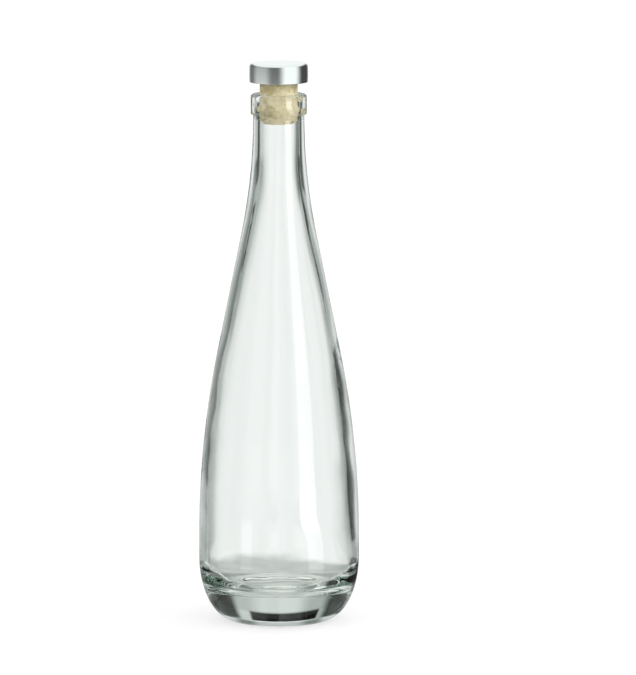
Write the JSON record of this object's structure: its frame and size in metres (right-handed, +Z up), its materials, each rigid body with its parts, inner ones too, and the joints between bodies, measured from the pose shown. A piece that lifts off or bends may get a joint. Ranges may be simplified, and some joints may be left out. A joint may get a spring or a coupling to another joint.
{
  "type": "stoppered glass bottle",
  "caption": "Clear teardrop glass bottle with a thick base and a lipped neck, closed by a cork stopper under a flat aluminium cap.",
  "frame": {"origin": "centre of the surface that the bottle stands on", "axes": "+Z up along the bottle's axis, towards the stopper; the pictured side faces -Y, with +X to its right"},
  "size_m": [0.078, 0.078, 0.2727],
  "materials": {
    "clear_glass": "fire-polished, faint green-grey tint",
    "natural_cork": "sanded natural cork with fine pores",
    "hot_melt": "set hot-melt adhesive",
    "core_plastic": "moulded black plastic",
    "cap_aluminium": "polished with a fine brushed grain"
  },
  "bodies": {
    "bottle": {"glass_bottle": "clear_glass"},
    "stopper_lift": {"glue_disc": "hot_melt"},
    "stopper": {"cork_shank": "natural_cork", "cap_core": "core_plastic", "cap_shell": "cap_aluminium"}
  },
  "joints": [
    {"name": "stopper_pull", "type": "slide", "parent": "bottle", "child": "stopper_lift", "axis": [0, 0, 1], "range_m": [-0.0056, 0.045]},
    {"name": "stopper_twist", "type": "hinge", "parent": "stopper_lift", "child": "stopper", "pos_m": [0, 0, 0.2506], "axis": [0, 0, 1], "continuous": true}
  ]
}
